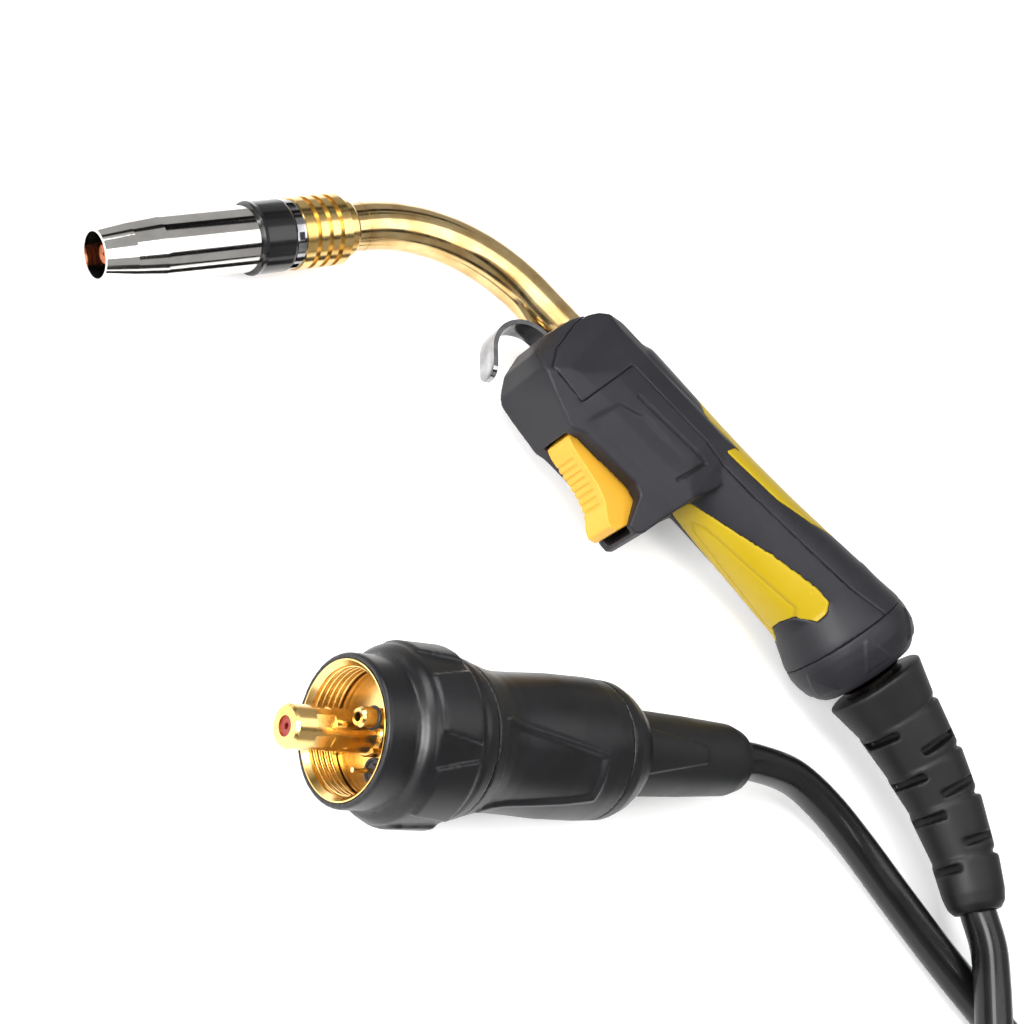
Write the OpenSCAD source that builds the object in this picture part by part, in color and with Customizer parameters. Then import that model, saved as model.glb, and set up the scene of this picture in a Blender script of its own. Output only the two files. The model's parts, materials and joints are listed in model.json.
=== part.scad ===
// MIG welding torch with its lead and gun plug, lying on its side.
// Millimetres. Handle axis along +X, trigger side +Y, up +Z.

/* [Torch] */

// Bend of the neck, degrees
neck_bend = 60; // [45:1:65]
// Radius of the neck's centre line
neck_bend_r = 70; // [60:1:90]
// Outside diameter of the neck jacket
neck_d = 17; // [15:0.5:18]
// Wall of the neck jacket
neck_wall = 1.25; // [1:0.05:1.5]
// Diameter of the conductor tube in the neck
conductor_d = 12; // [11:0.25:12.5]
// Gas and wire passage in the conductor tube
conductor_bore = 6; // [4:0.5:7]
// Where the neck leaves the head, from the grip's rear bend
neck_exit = 158; // [158:0.5:160]
// Straight neck outside the head
neck_straight = 20; // [18:0.5:30]

/* [Nozzle] */

// Outside diameter of the gas nozzle
nozzle_d = 22.4; // [21.8:0.1:23]
// Outside diameter at the mouth
mouth_d = 17.2; // [16.8:0.1:18]
// Length of the gas nozzle
nozzle_len = 67; // [60:0.5:75]
// Length of its cone
nozzle_cone = 21; // [15:0.5:25]
// Diameter of the nozzle's seat on its insulator
nozzle_seat_d = 19; // [18.4:0.1:19.4]
// Wall at the mouth
mouth_wall = 1; // [0.8:0.05:1.3]
// Width of the black insulating band
band_w = 13.2; // [10:0.2:15]
// Thickness of the insulating band
band_t = 1.1; // [0.8:0.1:1.4]
// Diameter of the contact tip
tip_d = 8; // [7:0.1:8.4]
// Length of the contact tip
tip_len = 40; // [36:0.5:42]
// Wire bore of the contact tip
tip_bore = 1.2; // [0.8:0.1:1.6]
// Number of ribs on the finned ring
fin_count = 4; // [3:1:5]
// Outside diameter of the ribs
fin_d = 24.6; // [24:0.1:26]
// Depth of the grooves between the ribs
fin_depth = 1.2; // [0.8:0.1:1.8]
// Length of the finned ring
fin_len = 18; // [16:0.5:20]

/* [Handle] */

// Thickness of the soft grip inlays
inlay_t = 2; // [1.5:0.1:2.4]
// Diameter of the swivel ball
ball_d = 34; // [32:0.2:34.4]
// Outside diameter of the rear collar
collar_d = 50.4; // [48:0.2:52]
// Turn of the rear end against the grip, degrees
rear_turn = 13; // [11:0.5:15]
// Trigger width
trigger_w = 14; // [12:0.2:15]
// Side gap of the trigger in its slot
trigger_gap = 0.4; // [0.3:0.05:0.6]
// Diameter of the trigger pin
pin_d = 3; // [2.5:0.1:3.4]
// Thickness of the hook strap
hook_t = 1.8; // [1.4:0.1:2.4]
// Width of the hook strap
hook_w = 10; // [7:0.5:11]

/* [Lead] */

// Diameter of the lead
cord_d = 13.5; // [12.5:0.1:13.9]
// Diameter of the boot at the handle
boot_d = 38.4; // [36:0.2:39]
// Width of the slots in the boot
slot_w = 3; // [2:0.1:3.4]

/* [Plug] */

// Diameter of the plug's centre pin
plug_pin_d = 13.2; // [12.8:0.1:14]
// Reach of the centre pin beyond the nut's rim
plug_pin_reach = 20; // [16:0.5:24]
// Hole through the centre pin
liner_d = 6.2; // [5:0.1:7]
// Inside diameter of the nut's thread
thread_d = 38.4; // [37.6:0.1:39]
// Pitch of the nut's thread
thread_pitch = 2; // [1.5:0.1:2.2]
// Outside diameter of the nut's front sleeve
sleeve_d = 46; // [45:0.2:48]
// Outside diameter of the nut's grip ring
flange_d = 54; // [53:0.2:56]
// Height of the nut's grip pads
pad_h = 1.1; // [0.7:0.1:1.4]
// Number of grip pads
pad_count = 6; // [5:1:8]
// Diameter of the plug housing at its rear
housing_d = 46.2; // [45:0.2:48]
// Diameter of the signal pins
signal_d = 1.6; // [1.2:0.1:2]

/* [Hidden] */

$fn = 96;
run_gap = 0.05;
seat_gap = 0.3;
side_tilt = 7.9;
axis_h = 25.68;
origin_x = 98.03;
origin_y = 51.53;
nose_up = 4.4;
plug_yaw = 45.5;
plug_x = 135;
plug_y = 201;
cord_r = cord_d / 2;

neck_from = 122;
end_step = 0.1;
bend_x = neck_exit + neck_straight;
block_x0 = 110;
block_x1 = 142;
block_h = 11;
block_w = 12;
ball_x = -19;
collar_x0 = -12.5;
collar_x1 = -29;
cavity_r = 14;
pivot_x = 133;
pivot_y = 31;
slot_x0 = 97.2;
slot_x1 = 137.5;
plunger_x = 112;
switch_y1 = 18;

hook_bend = 13;
hook_sweep = 128;
hook_leg = 6;
hook_steps = 24;
hook_centre = [165.5, 11 + hook_bend];
pin_step = 0.3;
cord_gap = 0.3;

// Stations along the nozzle axis, from the end of the neck's bend.
step_s0 = 5;
step_s1 = 10;
fin_s1 = step_s1 + fin_len;
clip_s1 = fin_s1 + 3.5;
seat_s1 = clip_s1 + 19;
band_s0 = clip_s1 + seat_gap;
noz_s0 = clip_s1 + 1.5;
noz_s1 = noz_s0 + nozzle_len;
diff_s1 = fin_s1 + 33;
tip_s1 = diff_s1 - 4 + tip_len;

// Stations along the plug axis, from the nut's rim.
plate_u = -12;
flange_u0 = -12.5;
flange_u1 = -33;
nut_u1 = -40;
body_u1 = -98;
cap_u1 = -113;
sleeve_u1 = -168;
spigot_r = 20;
bush_r = 11.3;

// ---- placing ----

module world() {
    translate([-origin_x, -origin_y, 0]) children();
}

module torch() {
    world() translate([0, 0, axis_h]) rotate([-side_tilt, 0, 0]) children();
}

module rear() {
    torch() translate([20, 0, 0]) rotate([0, 0, -rear_turn]) children();
}

module nozzle_end() {
    torch()
        translate([bend_x + neck_bend_r * sin(neck_bend),
            neck_bend_r * (1 - cos(neck_bend)), 0])
        rotate([0, 0, neck_bend]) children();
}

module plug() {
    half = flange_d / 2 + pad_h;
    rise = half * cos(nose_up) - (flange_u1 + 1) * sin(nose_up);
    world() translate([plug_x, plug_y, rise]) rotate([0, 0, plug_yaw])
        rotate([0, -nose_up, 0]) children();
}

// A solid of revolution about X from points [x, r].
module turned(pts) {
    rotate([0, 90, 0]) rotate_extrude() polygon([for (p = pts) [p[1], p[0]]]);
}

// A flat shape turned about X; its own y runs along the axis.
module spun() {
    rotate([0, 90, 0]) rotate_extrude() children();
}

// A rod along X from x0 to x1.
module rod(r, x0, x1) {
    translate([x0, 0, 0]) rotate([0, 90, 0]) cylinder(r = r, h = x1 - x0);
}

module pipe(r_out, r_in, x0, x1) {
    difference() {
        rod(r_out, x0, x1);
        rod(r_in, x0 - 1, x1 + 1);
    }
}

// ---- neck ----

module neck_path(r, x0, s1) {
    rod(r, x0, bend_x);
    translate([bend_x, neck_bend_r, 0]) rotate([0, 0, -90])
        rotate_extrude(angle = neck_bend) translate([neck_bend_r, 0]) circle(r = r);
    translate([bend_x, neck_bend_r, 0]) rotate([0, 0, neck_bend])
        translate([0, -neck_bend_r, 0]) rod(r - end_step, -0.5, s1);
}

module neck_tube() {
    color([0.82, 0.66, 0.33]) torch() difference() {
        neck_path(neck_d / 2, neck_from, step_s1);
        neck_path(neck_d / 2 - neck_wall, neck_from - 1, step_s1 + 1);
    }
}

module neck_insulation() {
    color([0.15, 0.15, 0.16]) torch() difference() {
        neck_path(neck_d / 2 - neck_wall, neck_from, step_s1);
        neck_path(conductor_d / 2, neck_from - 1, step_s1 + 1);
    }
}

module neck_conductor() {
    color([0.72, 0.45, 0.3]) torch() difference() {
        neck_path(conductor_d / 2, block_x0 + 4, fin_s1);
        neck_path(conductor_bore / 2, block_x0 + 3, fin_s1 + 1);
    }
}

module neck_block() {
    color([0.8, 0.65, 0.35]) torch() difference() {
        translate([block_x0, -block_h, -block_w])
            cube([block_x1 - block_x0, 2 * block_h, 2 * block_w]);
        rod(conductor_d / 2, block_x0 - 1, block_x1 + 1);
        rod(neck_d / 2, neck_from, block_x1 + 1);
    }
}

// Lead core from the block back to the swivel ball.
module core_path(r, x0, end) {
    bend = 12;
    reach = bend * tan(rear_turn / 2);
    rod(r, 20 + reach, x0);
    translate([20 + reach, bend, 0]) rotate([0, 0, -90 - rear_turn])
        rotate_extrude(angle = rear_turn) translate([bend, 0]) circle(r = r);
    translate([20, 0, 0]) rotate([0, 0, -rear_turn]) rod(r, end, -reach);
}

module core_lead() {
    color([0.16, 0.16, 0.17]) torch()
        core_path(conductor_d / 2, block_x0 + 4, ball_x + ball_d / 2 + seat_gap);
}

// ---- nozzle ----

module gas_nozzle() {
    bore_end = seat_s1 + 8;
    color([0.88, 0.88, 0.9]) nozzle_end() turned([
        [noz_s0, nozzle_seat_d / 2 + run_gap],
        [noz_s0, nozzle_d / 2],
        [noz_s1 - nozzle_cone, nozzle_d / 2],
        [noz_s1 - nozzle_cone * 0.5, (nozzle_d + mouth_d) / 4 + 0.25],
        [noz_s1, mouth_d / 2],
        [noz_s1, mouth_d / 2 - mouth_wall],
        [noz_s1 - 8, mouth_d / 2 - mouth_wall],
        [bore_end, nozzle_seat_d / 2 + run_gap]]);
}

module insulator_band() {
    r = nozzle_d / 2;
    color([0.1, 0.1, 0.12]) nozzle_end() turned([
        [band_s0, r],
        [band_s0, r + band_t - 0.4],
        [band_s0 + 0.8, r + band_t],
        [band_s0 + band_w - 2, r + band_t],
        [band_s0 + band_w - 0.6, r + band_t + 0.3],
        [band_s0 + band_w, r + band_t - 0.1],
        [band_s0 + band_w, r]]);
}

module contact_tip() {
    color([0.72, 0.42, 0.28]) nozzle_end() difference() {
        turned([[diff_s1 - 4, 0], [diff_s1 - 4, tip_d / 2], [tip_s1 - 7, tip_d / 2],
            [tip_s1, tip_d / 2 - 1], [tip_s1, 0]]);
        rod(tip_bore / 2, diff_s1 - 5, tip_s1 + 1);
    }
}

module gas_diffuser() {
    color([0.8, 0.65, 0.35]) nozzle_end() difference() {
        union() {
            rod(8, fin_s1, clip_s1 + 2.5);
            rod(6, clip_s1 + 2, diff_s1);
        }
        rod(conductor_bore / 2 - 0.5, fin_s1 - 1, diff_s1 - 4);
        rod(tip_d / 2, diff_s1 - 4, diff_s1 + 1);
        for (a = [0 : 60 : 300]) rotate([a, 0, 0])
            translate([diff_s1 - 7, 0, 0]) cylinder(r = 0.8, h = 10);
    }
}

module nozzle_insulator() {
    color([0.2, 0.17, 0.15]) nozzle_end() difference() {
        rod(nozzle_seat_d / 2, clip_s1, seat_s1);
        rod(6, clip_s1 - 1, seat_s1 + 1);
        rod(8, clip_s1 - 1, clip_s1 + 2.5);
    }
}

module clip_ring() {
    color([0.85, 0.85, 0.87]) nozzle_end() difference() {
        pipe(nozzle_d / 2 + 0.6, 8, fin_s1, clip_s1);
        for (a = [30 : 60 : 330]) rotate([a, 0, 0])
            translate([fin_s1 + 1, -1.5, 10]) cube([4, 3, 6]);
    }
}

module finned_ring() {
    pitch = fin_len / fin_count;
    color([0.84, 0.68, 0.34]) nozzle_end() difference() {
        rod(fin_d / 2, step_s1, fin_s1);
        rod(conductor_d / 2, step_s1 - 1, fin_s1 + 1);
        for (i = [1 : fin_count - 1])
            pipe(fin_d, fin_d / 2 - fin_depth, step_s1 + i * pitch - 0.9, step_s1 + i * pitch + 0.9);
    }
}

module step_ring() {
    color([0.84, 0.68, 0.34]) nozzle_end() difference() {
        turned([[step_s0, 0], [step_s0, neck_d / 2 + 0.7], [step_s0 + 1, neck_d / 2 + 1.4],
            [step_s1, neck_d / 2 + 1.4], [step_s1, 0]]);
        rod(neck_d / 2, step_s0 - 1, step_s1 + 1);
    }
}

// ---- handle ----

// Grip radius along the handle axis.
GRIP = [[20, 21.6], [28, 21], [36, 20.4], [50, 19.6], [66, 18.9], [85, 18.4],
    [104, 18.6], [120, 19], [134, 19.2], [142, 16.5], [151, 11.5]];

module grip_solid(t) {
    pts = [for (g = GRIP) [g[0], g[1] - t]];
    turned(concat([[20, 0]], pts, [[151, 0]]));
}

module rear_solid(t) {
    r = collar_d / 2 - 0.2;
    translate([20, 0, 0]) rotate([0, 0, -rear_turn]) turned([
        [6, 0], [6, 21 - t], [0, 22 - t], [-6, 23.5 - t], [-10, r - 0.4 - t],
        [collar_x0, r - t], [collar_x0, 0]]);
}

module head_solid() {
    side = [[84, -10], [84, 12], [89, 24], [94, 46], [96, 48.5], [100, 48],
        [104, 37.5], [108, 36], [133, 36.5], [138, 38.5], [151, 34.5], [160, 31],
        [165, 25.5], [166.5, 16], [163.5, 4], [158, -5], [150, -10], [141, -13],
        [134, -14], [100, -14]];
    plan = [[80, 15], [90, 18.5], [99, 20.5], [141, 20.5], [153, 18.5], [162, 14],
        [168, 8], [168, -8], [162, -14], [153, -18.5], [141, -20.5], [99, -20.5],
        [90, -18.5], [80, -15]];
    front = [[-15, 10], [-10, 15.5], [-4, 19.2], [4, 20.5], [14, 20.5], [24, 19.2],
        [33, 15.6], [38, 12.8], [50, 9.8], [50, -9.8], [38, -12.8], [33, -15.6],
        [24, -19.2], [14, -20.5], [4, -20.5], [-4, -19.2], [-10, -15.5], [-15, -10]];
    intersection() {
        translate([0, 0, -25]) linear_extrude(50) polygon(side);
        translate([0, 60, 0]) rotate([90, 0, 0]) linear_extrude(100) polygon(plan);
        translate([60, 0, 0]) rotate([90, 0, 90]) linear_extrude(120) polygon(front);
    }
}

module handle_solid() {
    grip_solid(0);
    rear_solid(0);
    head_solid();
}

// Everything on the back's side of the parting line.
module back_region() {
    translate([0, 0, -40]) linear_extrude(80) polygon([[-30, -60], [-30, 3],
        [20, 3], [137, 5], [141.5, 30.5], [151.5, 29.5], [157.5, 29], [160.5, 20],
        [161.5, 5], [159, -8], [159, -60]]);
}

module belly_prism() {
    translate([0, 50, 0]) rotate([90, 0, 0]) linear_extrude(46) polygon([[88.5, 3],
        [86, 5.6], [77, 8], [53, 13.7], [33, 16.8], [26, 17.2], [23.5, 15.5],
        [23.5, 12], [30, 6], [31, 0], [30, -6], [23.5, -12], [23.5, -15.5],
        [26, -17.2], [33, -16.8], [53, -13.7], [77, -8], [86, -5.6], [88.5, -3]]);
}

module back_prism() {
    translate([0, 0, -40]) linear_extrude(80) polygon([[112, -30], [112, -16.5],
        [106, -9], [99, -2.2], [90, -1.5], [64, -3.2], [49, -7.6], [38, -14],
        [30, -19], [28, -30]]);
}

module inlay_layer() {
    difference() {
        union() {
            grip_solid(0);
            rear_solid(0);
        }
        grip_solid(inlay_t);
        rear_solid(inlay_t);
    }
}

// The ball's socket.
module ball_space() {
    translate([ball_x, 0, 0]) spun() intersection() {
        circle(r = ball_d / 2 + run_gap);
        translate([0, -ball_d]) square([ball_d, 2 * ball_d]);
    }
}

module handle_hollow() {
    difference() {
        rod(cavity_r, 16, 112);
        screw_bosses();
    }
    translate([98, -block_h, -block_w]) cube([block_x1 - 98, block_h + 24, 2 * block_w]);
    rod(neck_d / 2, 140, 175);
    translate([slot_x0, 20, -trigger_w / 2 - trigger_gap])
        cube([slot_x1 - slot_x0, 40, trigger_w + 2 * trigger_gap]);
    translate([20, 0, 0]) rotate([0, 0, -rear_turn]) {
        rod(10, -16, 6);
        ball_space();
    }
    translate([pivot_x, pivot_y, -14]) cylinder(r = pin_d / 2, h = 28);
    hook_strap();
    screw_solid(4);
}

screw_x = 40;
screw_z = 9.5;

module screw_bosses() {
    for (z = [-screw_z, screw_z]) translate([screw_x, -16, z])
        rotate([-90, 0, 0]) cylinder(r = 3.4, h = 32);
}

// Screws through both shells; head gives the length of the recess over each.
module screw_solid(head) {
    for (z = [-screw_z, screw_z]) translate([screw_x, 0, z]) rotate([-90, 0, 0]) {
        translate([0, 0, -12]) cylinder(r = 1.5, h = 25);
        translate([0, 0, 12]) cylinder(r = 2.6, h = head);
    }
}

module shell_screws() {
    color([0.6, 0.6, 0.62]) torch() screw_solid(2);
}

module upper_shell() {
    color([0.13, 0.13, 0.15]) torch() {
        difference() {
            intersection() {
                handle_solid();
                back_region();
            }
            intersection() {
                inlay_layer();
                back_prism();
            }
            handle_hollow();
        }
    }
}

module lower_shell() {
    color([0.13, 0.13, 0.15]) torch() {
        difference() {
            handle_solid();
            back_region();
            intersection() {
                inlay_layer();
                belly_prism();
            }
            handle_hollow();
        }
    }
}

module back_inlay() {
    color([0.83, 0.68, 0.06]) torch() intersection() {
        inlay_layer();
        back_prism();
    }
}

module belly_inlay() {
    color([0.83, 0.68, 0.06]) torch() intersection() {
        inlay_layer();
        belly_prism();
    }
}

function hook_arc(r) = [for (i = [0 : hook_steps]) let (a = hook_sweep * i / hook_steps - 90)
    hook_centre + r * [cos(a), sin(a)]];
function hook_end(r) = hook_centre + r * [cos(hook_sweep - 90), sin(hook_sweep - 90)]
    + (hook_leg + hook_w / 2) * [cos(hook_sweep), sin(hook_sweep)];
function reversed(p) = [for (i = [len(p) - 1 : -1 : 0]) p[i]];

// Strap bent from flat steel: shank, bend, leg and round tip.
module hook_strap() {
    inner = hook_bend - hook_t / 2;
    outer = hook_bend + hook_t / 2;
    difference() {
        translate([0, 0, -hook_w / 2]) linear_extrude(hook_w) polygon(concat(
            [[146, hook_centre[1] - outer]], hook_arc(outer), [hook_end(outer), hook_end(inner)],
            reversed(hook_arc(inner)), [[146, hook_centre[1] - inner]]));
        translate([hook_centre[0], hook_centre[1], 0]) rotate([0, 0, hook_sweep - 90])
            difference() {
                translate([inner - 1, hook_leg, -hook_w]) cube([hook_t + 2, hook_w, 2 * hook_w]);
                translate([inner - 2, hook_leg, 0]) rotate([0, 90, 0])
                    cylinder(r = hook_w / 2 + 0.2, h = hook_t + 4);
            }
    }
}

module suspension_hook() {
    color([0.75, 0.75, 0.77]) torch() hook_strap();
}

// ---- trigger ----

module trigger_outline() {
    polygon([[136.4, 33], [136.2, 38], [133, 39.6], [129, 40.6], [117, 43.6],
        [111, 46.6], [107, 51], [104.5, 52.6], [101.5, 51.6], [99.6, 46],
        [99.6, 36], [101, 27.5], [104, 25], [130, 25], [134.5, 27]]);
}

module trigger() {
    color([0.93, 0.66, 0.16]) torch() difference() {
        translate([0, 0, -trigger_w / 2]) linear_extrude(trigger_w) trigger_outline();
        translate([pivot_x, pivot_y, -trigger_w]) cylinder(r = pin_d / 2 + run_gap, h = 2 * trigger_w);
        for (i = [0 : 7]) {
            x = 129 - 2.5 * i;
            y = 40.6 + (129 - x) * 0.25 + (x < 117 ? (117 - x) * 0.25 : 0);
            translate([x - 0.5, y - 0.6, -trigger_w]) cube([0.8, 4, trigger_w + 4]);
        }
    }
}

module trigger_pin() {
    color([0.6, 0.6, 0.62]) torch() translate([pivot_x, pivot_y, -13.8])
        cylinder(r = pin_d / 2, h = 27.6);
}

module switch_body() {
    color([0.2, 0.2, 0.22]) torch() difference() {
        translate([103, block_h, -5]) cube([18, switch_y1 - block_h, 10]);
        translate([plunger_x, switch_y1 - 5, 0]) rotate([-90, 0, 0])
            cylinder(r = 1.5 + run_gap, h = 6);
    }
}

module switch_plunger() {
    color([0.75, 0.2, 0.15]) torch() translate([plunger_x, switch_y1 - 2, 0])
        rotate([-90, 0, 0]) cylinder(r = 1.5, h = 25 - seat_gap - switch_y1 + 2);
}

// ---- rear collar, ball and boot ----

module rear_collar() {
    r = collar_d / 2;
    front = collar_x0 - ball_x;
    back = collar_x1 - ball_x;
    color([0.14, 0.14, 0.16]) rear() translate([ball_x, 0, 0]) spun() difference() {
        polygon([[0, front], [r - 0.2, front], [r, front - 3.5], [r - 0.6, front - 7.5],
            [r - 2.2, front - 11.5], [r - 4.2, front - 14.5], [r - 6.4, back], [0, back]]);
        circle(r = ball_d / 2 + run_gap);
        polygon([[0, 1], [13.4, 1], [13.4, back + 3], [16.2, back - 1], [0, back - 1]]);
    }
}

BEND = [0, 5, 5, 9, 9];
SEG = [16, 19, 17, 21, 20];
SEG_R0 = [19.2, 16.4, 15, 13.8, 12.4];
SEG_R1 = [16.2, 14.7, 13.2, 11.9, 11.6];
boot_x0 = ball_x - 14;
bore_step = 0.5;
seg_gap = 0.4;

// Direction and place of each boot segment, in the rear end's frame.
function turn(i) = i == 0 ? 180 : turn(i - 1) - BEND[i];
function spot(i) = i == 0 ? [boot_x0, 0]
    : spot(i - 1) + SEG[i - 1] * [cos(turn(i - 1)), sin(turn(i - 1))];

module at_segment(i) {
    translate([spot(i)[0], spot(i)[1], 0]) rotate([0, 0, turn(i)]) children();
}

module boot_solid() {
    k = boot_d / 38.4;
    for (i = [0 : 4]) at_segment(i) {
        if (i < 4) {
            turned([[seg_gap, 0], [seg_gap, SEG_R0[i] * k - 0.6], [1.2, SEG_R0[i] * k],
                [SEG[i] - 1, SEG_R1[i] * k], [SEG[i], SEG_R1[i] * k - 0.8], [SEG[i], 0]]);
        } else {
            turned([[seg_gap, 0], [seg_gap, SEG_R0[i] * k - 0.6], [1.2, SEG_R0[i] * k],
                [13, SEG_R1[i] * k], [17.5, SEG_R1[i] * k - 1], [SEG[i], 8.6], [SEG[i], 0]]);
        }
        if (i > 0) rod(SEG_R1[i - 1] * k - 1.5, -3, 1.6);
    }
}

// Pairs of slots, on the two edges where side is 0 and on top and below at 90.
module slot_pair(i, at, side, floor_r) {
    at_segment(i) rotate([side, 0, 0]) for (m = [-1, 1])
        translate([at - slot_w / 2, m > 0 ? floor_r : -floor_r - 12, -9])
            cube([slot_w, 12, 18]);
}

module torch_boot() {
    color([0.17, 0.17, 0.18]) rear() difference() {
        boot_solid();
        for (i = [1 : 4]) slot_pair(i, 4, 0, 9.4);
        for (i = [1 : 3]) slot_pair(i, SEG[i] * 0.74, 90, 9.4);
        // The bore narrows by a step at each bend, down to the lead.
        for (i = [0 : 4]) at_segment(i)
            rod(cord_r + run_gap + bore_step * (4 - i), -1, SEG[i] + 1);
        rod(11.5, ball_x - 30, ball_x);
    }
}

module swivel_ball() {
    color([0.8, 0.65, 0.35]) rear() translate([ball_x, 0, 0]) spun() difference() {
        union() {
            circle(r = ball_d / 2);
            translate([0, -30]) square([11.5, 30]);
        }
        translate([-ball_d, -ball_d]) square([ball_d + cord_r + run_gap, 2 * ball_d]);
    }
}

// ---- lead ----

tube_sides = 8;
coil_sides = 6;
coil_steps = 24;
coil_turns = 5.75;
coil_r = 94;
coil_pitch = 15;
coil_dip = 10;
coil_x = -247.5;
coil_y = 170;
layer_rise = cord_d + 0.6;

function tilted(p) = [p[0], p[1] * cos(side_tilt) + p[2] * sin(side_tilt),
    axis_h - p[1] * sin(side_tilt) + p[2] * cos(side_tilt)];
function from_rear(p) = tilted([20 + p[0] * cos(rear_turn) + p[1] * sin(rear_turn),
    p[1] * cos(rear_turn) - p[0] * sin(rear_turn), 0]);
plug_rise = (flange_d / 2 + pad_h) * cos(nose_up) - (flange_u1 + 1) * sin(nose_up);
function from_plug(u) = [plug_x + u * cos(nose_up) * cos(plug_yaw),
    plug_y + u * cos(nose_up) * sin(plug_yaw), plug_rise + u * sin(nose_up)];

function curve(a, b, c, d, t) = 0.5 * (2 * b + (c - a) * t
    + (2 * a - 5 * b + 4 * c - d) * t * t + (3 * b - a - 3 * c + d) * t * t * t);
function lifted(p) = [p[0], p[1], max(p[2], cord_r)];
function smooth(route, n) = concat(
    [for (i = [1 : len(route) - 3]) for (j = [0 : n - 1])
        lifted(curve(route[i - 1], route[i], route[i + 1], route[i + 2], j / n))],
    [route[len(route) - 2]]);

function unit(v) = v / norm(v);
function heading(p, i) = unit(p[min(i + 1, len(p) - 1)] - p[max(i - 1, 0)]);

module tube(p, r, sides) {
    n = len(p);
    pts = [for (i = [0 : n - 1])
        let (t = heading(p, i), s = unit(cross(t, [0, 0, 1])), u = cross(s, t))
        for (k = [0 : sides - 1]) let (a = 360 * k / sides - 90)
            p[i] + r * (cos(a) * s + sin(a) * u)];
    walls = [for (i = [0 : n - 2]) for (k = [0 : sides - 1]) let (m = (k + 1) % sides)
        [i * sides + k, i * sides + m, (i + 1) * sides + m, (i + 1) * sides + k]];
    start = [for (k = [0 : sides - 1]) sides - 1 - k];
    end = [for (k = [0 : sides - 1]) (n - 1) * sides + k];
    polyhedron(points = pts, faces = concat([start, end], walls));
}

// The coil lies in two layers: in along the floor, up a layer, out again.
function ease(t) = t <= 0 ? 0 : t >= 1 ? 1 : t * t * (3 - 2 * t);
function coil_radius(t) = t < 2.5 ? coil_r - coil_pitch * t
    : t < 3.5 ? coil_r - coil_pitch * 2.5 - coil_dip * pow(sin(180 * (t - 2.5)), 2)
    : coil_r - coil_pitch * 2.5 + coil_pitch * (t - 3.5);
function coil_point(t) = [coil_x + coil_radius(t) * cos(-90 - 360 * t),
    coil_y + coil_radius(t) * sin(-90 - 360 * t),
    cord_r + layer_rise * ease((t - 2.75) * 2)];
COIL = [for (i = [0 : coil_turns * coil_steps]) coil_point(i / coil_steps)];
COIL_GAPS = [for (i = [0 : len(COIL) - 1]) for (j = [i + 10 : 1 : len(COIL) - 1])
    norm(COIL[i] - COIL[j])];
echo("least gap of the coil to itself", min(COIL_GAPS) - cord_d);

// The cables run into the coil's ends in line with its first and last stretch.
function into_coil(a, b) = unit(coil_point(b) - coil_point(a));
function coil_end(route, at, way) = concat(route,
    [coil_point(at) - cord_gap * way, route[len(route) - 1] + 28 * way]);

TORCH_ROUTE = coil_end(concat(
    [from_rear([ball_x + 14, 0]), from_rear([ball_x + 4, 0]), from_rear([ball_x - 12, 0])],
    [for (i = [1 : 4]) from_rear(spot(i))],
    [from_rear(spot(4) + 10 * [cos(turn(4)), sin(turn(4))]),
     from_rear(spot(5)),
     [-103, 58, 20.6], [-110, 72, 21.4], [-119, 90, 21.3], [-130, 108, 21],
     [-141, 125, 20.9], [-151, 141, 20.85], [-156.8, 156.5, 3 * cord_r + 0.6]]),
    coil_turns, into_coil(coil_turns, coil_turns - 1 / coil_steps));

PLUG_ROUTE = coil_end(concat([from_plug(-105), from_plug(-120), from_plug(-145),
    from_plug(-168), from_plug(-178)],
    [[-6, 62.5, 13.6], [-24, 57, 10], [-44, 56.5, 7.4], [-68, 60.5, 6.8], [-94, 65, 6.75],
     [-122, 68.6, 6.75], [-155, 72, 6.75], [-190, 74.8, 6.75], [-228, 76, cord_r]]),
    0, into_coil(0, 1 / coil_steps));

module torch_cable() {
    color([0.06, 0.06, 0.07]) world() tube(smooth(TORCH_ROUTE, 4), cord_r, tube_sides);
}

module connector_cable() {
    color([0.06, 0.06, 0.07]) world() tube(smooth(PLUG_ROUTE, 4), cord_r, tube_sides);
}

module cable_coil() {
    color([0.06, 0.06, 0.07]) world() tube(COIL, cord_r, coil_sides);
}

// ---- plug ----

module plug_boot() {
    color([0.16, 0.16, 0.17]) plug() difference() {
        turned([[sleeve_u1, 0], [sleeve_u1, 8.4], [-166.5, 10.8], [-161, 12.5],
            [-140, 13.6], [-114, 14.5], [-106, 14.5], [-106, 0]]);
        rod(cord_r + run_gap, sleeve_u1 - 1, -105);
    }
}

module plug_cap() {
    r = housing_d / 2 - 0.3;
    color([0.15, 0.15, 0.17]) plug() difference() {
        turned([[body_u1, 0], [body_u1, r], [-102, r - 0.2], [-106, r - 1.8],
            [-110.5, r - 4.6], [cap_u1, r - 7], [cap_u1, 0]]);
        rod(14.5, cap_u1 - 1, body_u1 + 1);
    }
}

module plug_housing() {
    r = housing_d / 2;
    color([0.14, 0.14, 0.16]) plug() difference() {
        union() {
            turned([[body_u1, 0], [body_u1, r - 0.3], [-92, r], [-76, r - 0.1],
                [-64, r - 0.8], [-55, r - 1.2], [-50, r - 0.9], [-44, r + 0.5],
                [nut_u1 - seat_gap, r + 1.5], [nut_u1 - seat_gap, 0]]);
            rod(spigot_r, nut_u1 - 1, -26);
        }
        rod(17, -94, -25);
        rod(14.5, body_u1 - 1, -93);
    }
}

module plug_core() {
    color([0.72, 0.45, 0.3]) plug() pipe(6, liner_d / 2, -120, -46);
}

module bush_places() {
    for (a = [40, -15]) rotate([a, 0, 0]) translate([0, bush_r, 0]) children();
}

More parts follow.
